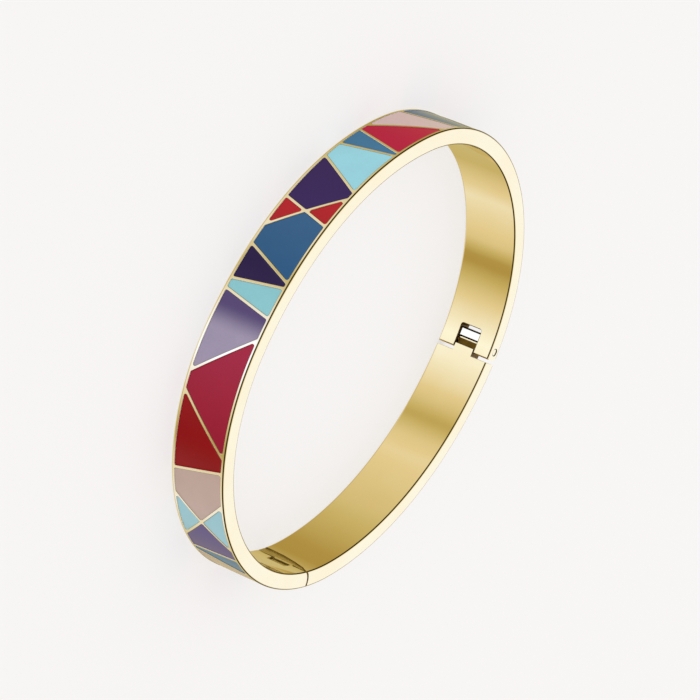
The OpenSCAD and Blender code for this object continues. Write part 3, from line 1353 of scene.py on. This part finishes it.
@dataclass(frozen=True)
class Clasp:
    """The clasp's seam, notch, slot and tongue seat, in a stand at the seam."""

    oval: Oval
    bar: Bar
    place: float = math.radians(180 + 48.97)
    depth: float = 1.48
    middle: Point = (-1.9, -0.7)
    seam_round: float = 1.9
    seam_steps: int = 32
    gap: float = 0.32
    notch: Point = (-2.0, 0.4)
    notch_depth: float = 0.2
    notch_end: float = 2.0
    notch_width: float = 2.9
    relief: tuple[Point, ...] = (
        (-1.0, -1.0), (1.5, -1.0), (1.5, 1.2), (1.4, 3.0), (1.0, 5.0), (0.46, 6.7), (-0.44, 8.0), (-1.0, 8.0),
    )
    relief_depth: float = 0.1
    relief_end: float = 3.0
    relief_wall: float = 0.03
    skim: float = 0.01
    lip_bevel: float = 0.25
    slot: Point = (42.98, 43.57)  # radii about the pin
    slot_width: float = 3.0
    slot_turn: Point = (173.5, 180.5)  # angles about the pin, in degrees
    seat: tuple[float, float, float, float] = (-1.0, 1.63, -0.98, -0.42)  # its ends, then its sides
    seat_width: float = 2.86
    far: float = 5.0

    @property
    def inner(self) -> float:
        """Where the inner wall lies in the stand."""
        return self.bar.thickness - self.depth

    def stand(self) -> Matrix:
        """Stand at the seam."""
        return Stand(self.oval, self.place, self.depth).matrix()

    def cap(self, radius: float, side: float) -> list[Point]:
        """An outline that is bounded by the rounded seam and reaches far along the band.

        Args:
            radius: the seam's radius.
            side: 1 for the clasp side of the band, -1 for the other.

        Returns:
            The corners.
        """
        x = self.middle[0]
        ends = [(side * self.far, self.far), (side * self.far, -self.far)]
        return [(x, -self.far), *arc(self.middle, radius, -90, 90, self.seam_steps), (x, self.far), *ends]

    def front_cutters(self) -> list[Cutter]:
        """What shapes the front part's convex end.

        Returns:
            The cutters.
        """
        notch = box(*self.notch, *self.bar.central(self.notch_width))
        # The seam end and the notch take the lighter painted shade.
        return [
            Cutter(self.cap(self.seam_round, 1.0), *self.bar.through, finish=Metal.SATIN_SHADED),
            Cutter(notch, self.inner - self.notch_depth, self.notch_end, Lie.UPRIGHT, Metal.SATIN_SHADED),
        ]

    def slot_cutter(self) -> Cutter:
        """The slot in which the tongue swings.

        Returns:
            The cutter, in a stand at the pin without a turn.
        """
        inner, outer = self.slot
        start, end = self.slot_turn
        outline = arc((0, 0), inner, end, start) + arc((0, 0), outer, start, end)
        return Cutter(outline, *self.bar.central(self.slot_width), finish=Metal.SATIN_SHADED)

    def back_cutters(self) -> list[Cutter]:
        """What shapes the back part's hollow end, the relief inside it and the seat of the tongue's root.

        Returns:
            The cutters.
        """
        floor = self.inner - self.relief_depth
        radius = self.seam_round + self.gap
        lip = self.middle[0] + math.sqrt(radius**2 - (floor - self.middle[1]) ** 2)
        bevel = diamond((lip, floor), self.lip_bevel)
        within = [(x - self.relief_wall, z) for x, z in self.relief]
        # The relief's wall takes the dark painted shade of its step, and the other cuts take the lighter
        # painted shade.
        return [
            Cutter(self.cap(radius, -1.0), *self.bar.through, finish=Metal.SATIN_SHADED),
            Cutter(self.relief, floor, self.relief_end, Lie.UPRIGHT, Metal.DULL_SHADED),
            Cutter(within, floor - self.skim, self.relief_end, Lie.UPRIGHT, Metal.SATIN_SHADED),
            Cutter(box(*self.seat), *self.bar.central(self.seat_width), finish=Metal.SATIN_SHADED),
            Cutter(bevel, *self.bar.central(self.notch_width), finish=Metal.SATIN_SHADED),
        ]


@dataclass(frozen=True)
class FrontBand:
    """The long part: recesses for the enamel, the hinge's ears, and the seam's convex end."""

    oval: Oval
    bar: Bar
    layout: Layout
    hinge: Hinge
    clasp: Clasp
    start: float = -28.6
    end: float = 118.6
    recess: float = 0.45
    soft: float = 0.05
    soft_steps: int = 3
    floor_cell: float = 1.0
    face_cell: float = 0.6
    face_margin: float = 0.12
    face_reach: float = 1.0

    def outer_face(self, draft: Draft, sweep: Sweep, recesses: list[list[Edge]]) -> None:
        """Adds the outer face between the recesses.

        Args:
            draft: takes the faces.
            sweep: the bar.
            recesses: the recesses' walls.
        """
        low, high = self.bar.flat
        along = sweep.stations()
        border = [(x, low) for x in along] + [(x, high) for x in reversed(along)]
        lips = [[edge.moved(self.soft) for edge in edges] for edges in recesses]
        spans = [(*reach_along(lip), lip) for lip in lips]

        def clear(point: Point, reach: float = 0.0, margin: float = 0.0) -> bool:
            """Whether a point keeps a margin from every recess that is within reach along the band."""
            near = (lip for start, end, lip in spans if start - reach < point[0] < end + reach)
            return not any(inside_by(lip, point) > -margin for lip in near)

        cells = grid((self.start, low), (self.end, high), self.face_cell)
        loose = [point for point in cells if clear(point, self.face_reach, self.face_margin)]
        for corners in triangles([border, *lips], loose, clear):
            draft.face((x, y, 0.0) for x, y in corners)

    def recess_walls(self, draft: Draft, edges: list[Edge]) -> None:
        """Adds one recess: its softened lip, its wall and its floor.

        Args:
            draft: takes the faces.
            edges: the wall.
        """
        rows = []
        for step in range(self.soft_steps + 1):
            turn = math.pi / 2 * step / self.soft_steps
            out, depth = self.soft * (1 - math.sin(turn)), self.soft * (1 - math.cos(turn))
            rows.append([(*edge.moved(out), depth) for edge in edges])
        rim = [edge.moved(0.0) for edge in edges]
        rows.append([(x, y, self.recess) for x, y in rim])
        draft.loft(rows, closed=True)
        draft.floor(rim, self.recess, self.bar.width, self.floor_cell)

    def build(self, metals: Sequence[bpy.types.Material]) -> bpy.types.Object:
        """Builds the part.

        Args:
            metals: its finishes, in Metal's order.

        Returns:
            The piece.
        """
        sweep = Sweep(self.oval, self.bar, self.start, self.end)
        draft = sweep.draft()
        plain = len(draft.faces)
        recesses = [self.layout.outline(shape) for shape in FIELDS]
        self.outer_face(draft, sweep, recesses)
        for edges in recesses:
            self.recess_walls(draft, edges)
        piece = new_piece("gold_front_band", draft.mesh("gold_front_band", self.oval.at), *metals)
        # The outer face and the recesses take the near-white gold: painted highlight on the wires.
        for face in piece.data.polygons[plain:]:
            face.material_index = Metal.WIRE.place
        cut(piece, self.hinge.stand(), self.hinge.ear_cutters())
        cut(piece, self.clasp.stand(), self.clasp.front_cutters())
        cut(piece, Matrix.Translation(self.hinge.stand().translation), [self.clasp.slot_cutter()])
        Shading(self.oval, self.bar).apply(piece.data)
        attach(piece, "front")
        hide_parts("front_band")
        return piece


@dataclass(frozen=True)
class BackBand:
    """The short plain part: hollow seam end, and the tongue with its tail at the hinge."""

    oval: Oval
    bar: Bar
    hinge: Hinge
    clasp: Clasp
    start: float = 115.6
    end: float = 166.9

    def build(self, metals: Sequence[bpy.types.Material]) -> bpy.types.Object:
        """Builds the part.

        Args:
            metals: its finishes, in Metal's order.

        Returns:
            The piece.
        """
        sweep = Sweep(self.oval, self.bar, self.start, self.end)
        draft = sweep.draft()
        low, high = self.bar.flat
        along = sweep.stations()
        draft.strip([(x, low, 0.0) for x in along], [(x, high, 0.0) for x in along])
        piece = new_piece("gold_back_band", draft.mesh("gold_back_band", self.oval.at), *metals)
        cut(piece, self.clasp.stand(), self.clasp.back_cutters())
        cut(piece, self.hinge.stand(), self.hinge.tongue_cutters())
        Shading(self.oval, self.bar).apply(piece.data)
        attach(piece, "back")
        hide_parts("back_band")
        return piece


@dataclass(frozen=True)
class HingePin:
    """The turned pin through the ears and the tongue, with a slightly domed, chamfered end at each side."""

    hinge: Hinge
    inset: float = 0.02
    chamfer: float = 0.1
    dome: float = 0.03
    crown: Point = (0.6, 0.3)
    steps: int = 48
    edge_angle: float = math.radians(25)

    def profile(self) -> list[Point]:
        """The pin's outline.

        Returns:
            Radius and height of its points, from the lower end's middle to the upper end's.
        """
        low, radius, height = self.inset, self.hinge.pin, self.hinge.bar.width
        out, up = self.crown
        lower = [(0.0, low), (out * radius, low + up * self.dome), (radius - self.chamfer, low + self.dome)]
        lower.append((radius, low + self.dome + self.chamfer))
        return lower + [(r, height - z) for r, z in reversed(lower)]

    def build(self, gold: bpy.types.Material) -> bpy.types.Object:
        """Builds the pin.

        Args:
            gold: its finish.

        Returns:
            The piece.
        """
        draft = Draft()
        rings = [[(x, y, height) for x, y in circle(r, self.steps)] for r, height in self.profile()]
        draft.loft(rings, closed=True)
        stand = self.hinge.stand()
        mesh = draft.mesh("gold_hinge_pin", lambda place: stand @ Vector(place) * MM)
        mesh.shade_smooth()
        mesh.set_sharp_from_angle(angle=self.edge_angle)
        piece = new_piece("gold_hinge_pin", mesh, gold)
        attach(piece, "front")
        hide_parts("hinge_pin")
        return piece


@dataclass(frozen=True)
class Studio:
    """The camera, the pale floor and the soft light round the bangle.

    The pairs in around give the level of the mirrored light by direction in degrees, and glow gives the
    colour of each level. A value that ends in _from holds where a change of tone begins and where it ends.
    """

    lens: float = 189.43
    sensor: float = 36.0
    clip: Point = (0.01, 20.0)
    camera_at: Place = (-207.98, 348.73, 230.20)
    camera_right: Place = (0.56184, -0.18912, 0.80534)
    camera_back: Place = (-0.44657, 0.75014, 0.48771)
    floor_size: float = 4.0
    floor_colour: Colour = (0.935, 0.915, 0.905, 1.0)
    floor_glow: float = 0.7
    around: tuple[Point, ...] = (
        (-180, 0.47), (-169, 0.76), (-161, 0.82), (-137, 0.90), (-101, 0.60), (-77, 0.60), (-29, 0.63),
        (-5, 0.44), (7, 0.455), (19, 0.53), (31, 0.61), (43, 0.705), (60, 0.785), (71, 0.85), (79, 0.77),
        (88, 0.53), (96, 0.74), (103, 0.86), (115, 1.0), (127, 1.05), (151, 0.82), (175, 0.45),
    )
    glow: tuple[tuple[float, tuple[float, float, float]], ...] = (
        (0.44, (0.44, 0.33, 0.10)), (0.60, (0.60, 0.52, 0.25)),
        (0.82, (0.82, 0.75, 0.565)), (1.05, (1.05, 1.16, 1.42)),
    )
    strongest: float = 1.5
    overhead: Colour = (1.08, 1.10, 1.20, 1.0)
    behind: Colour = (1.04, 1.14, 1.47, 1.0)
    horizon: Colour = (0.10, 0.06, 0.012, 1.0)
    distant: Colour = (0.32, 0.28, 0.16, 1.0)
    soft: Colour = (1.0, 1.0, 1.0, 1.0)
    behind_from: Point = (0.80, 0.93)
    distant_from: Point = (0.35, 0.75)
    above_from: Point = (0.30, 0.38)
    horizon_from: Point = (-0.18, -0.09)

    def camera(self) -> None:
        """Sets up the camera at the photograph's place."""
        data = bpy.data.cameras.new("camera")
        data.lens, data.sensor_width = self.lens, self.sensor
        data.clip_start, data.clip_end = self.clip
        made = bpy.data.objects.new("camera", data)
        bpy.context.scene.collection.objects.link(made)
        back = Vector(self.camera_back).normalized()
        up = back.cross(Vector(self.camera_right)).normalized()
        turn = Matrix((up.cross(back), up, back)).transposed().to_4x4()
        made.matrix_world = Matrix.Translation(Vector(self.camera_at) * MM) @ turn
        bpy.context.scene.camera = made

    def floor(self) -> None:
        """Lays the floor, a pale light table. The polished metal mirrors the light below it in its place."""
        half = self.floor_size / 2
        mesh = bpy.data.meshes.new("floor")
        mesh.from_pydata([(x, y, 0.0) for x, y in box(-half, half, -half, half)], [], [(0, 1, 2, 3)])
        made, g = new_graph("floor_paper")
        lit = tuple(part * (1 - self.floor_glow) for part in self.floor_colour[:3]) + (1.0,)
        g.surface(
            Base_Color=lit,
            Roughness=0.9,
            Specular_IOR_Level=0.1,
            Emission_Color=self.floor_colour,
            Emission_Strength=self.floor_glow,
        )
        floor = new_piece("floor", mesh, made)
        floor.visible_glossy = False

    def world(self) -> None:
        """Builds the light: even and white, with a dark horizon and cards all round in the mirrors."""
        made = bpy.data.worlds.new("studio")
        made.use_nodes = True
        bpy.context.scene.world = made
        g = Graph(made.node_tree)
        toward = g.node("ShaderNodeTexCoord", None, None, "Generated")
        x, y, z = [g.node("ShaderNodeSeparateXYZ", None, {0: toward}, axis) for axis in "XYZ"]
        turn = y.turn_from(x) / math.tau + 0.5
        stops = [(degrees / 360 + 0.5, (level,) * 3) for degrees, level in self.around]
        stops.append((1.0, stops[0][1]))
        level = g.node("ShaderNodeValToRGB", {"stops": stops}, {0: turn})
        low = self.glow[0][0]
        span = self.glow[-1][0] - low
        tones = [((at - low) / span, [part / self.strongest for part in colour]) for at, colour in self.glow]
        grey = g.node("ShaderNodeSeparateColor", None, {0: level})
        cards = g.node("ShaderNodeValToRGB", {"stops": tones}, {0: (grey - low) / span})
        below = g.mix(1.0, cards, (self.strongest,) * 3 + (1.0,), "MULTIPLY")
        back = Vector((-self.camera_back[0], -self.camera_back[1], self.camera_back[2]))
        facing = x * back.x + y * back.y + z * back.z
        above = g.mix(facing.step(*self.behind_from), self.overhead, self.behind)
        horizon = g.mix(facing.step(*self.distant_from), self.horizon, self.distant)
        upper = g.mix(z.step(*self.above_from), horizon, above)
        mirrored = g.mix(z.step(*self.horizon_from), below, upper)
        glossy = g.node("ShaderNodeLightPath", None, None, "Is Glossy Ray")
        colour = g.mix(glossy, self.soft, mirrored)
        light = g.node("ShaderNodeBackground", None, {"Color": colour, "Strength": 1.0})
        g.node("ShaderNodeOutputWorld", None, {"Surface": light})

    def build(self) -> None:
        """Sets up all of it and the view's colours."""
        self.camera()
        self.floor()
        self.world()
        bpy.context.scene.view_settings.view_transform = "Standard"


def main() -> None:
    """Builds the bangle's looks."""
    logging.basicConfig(level=logging.INFO, format="%(message)s")
    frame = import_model()
    Studio().build()
    oval, bar = Oval(), Bar()
    layout = Layout(bar)
    hinge = Hinge(oval, bar)
    clasp = Clasp(oval, bar)
    metals = [metal.value.material() for metal in Metal]
    pieces = [
        FrontBand(oval, bar, layout, hinge, clasp).build(metals),
        BackBand(oval, bar, hinge, clasp).build(metals),
        HingePin(hinge).build(metals[Metal.POLISHED.place]),
    ]
    tongue = frame["nodes"]["clasp_tongue"]
    # The clasp tongue takes the lighter painted shade.
    tongue.data.materials.clear()
    tongue.data.materials.append(metals[Metal.SATIN_SHADED.place])
    gloss = {tint: tint.value.material() for tint in Tint}
    fields = EnamelFields(oval, layout)
    pieces += [fields.build(number, shape, gloss[shape.tint]) for number, shape in enumerate(FIELDS, 1)]
    for piece in pieces:
        log.info("%s: %d faces", piece.name, len(piece.data.polygons))


if __name__ == "__main__":
    main()
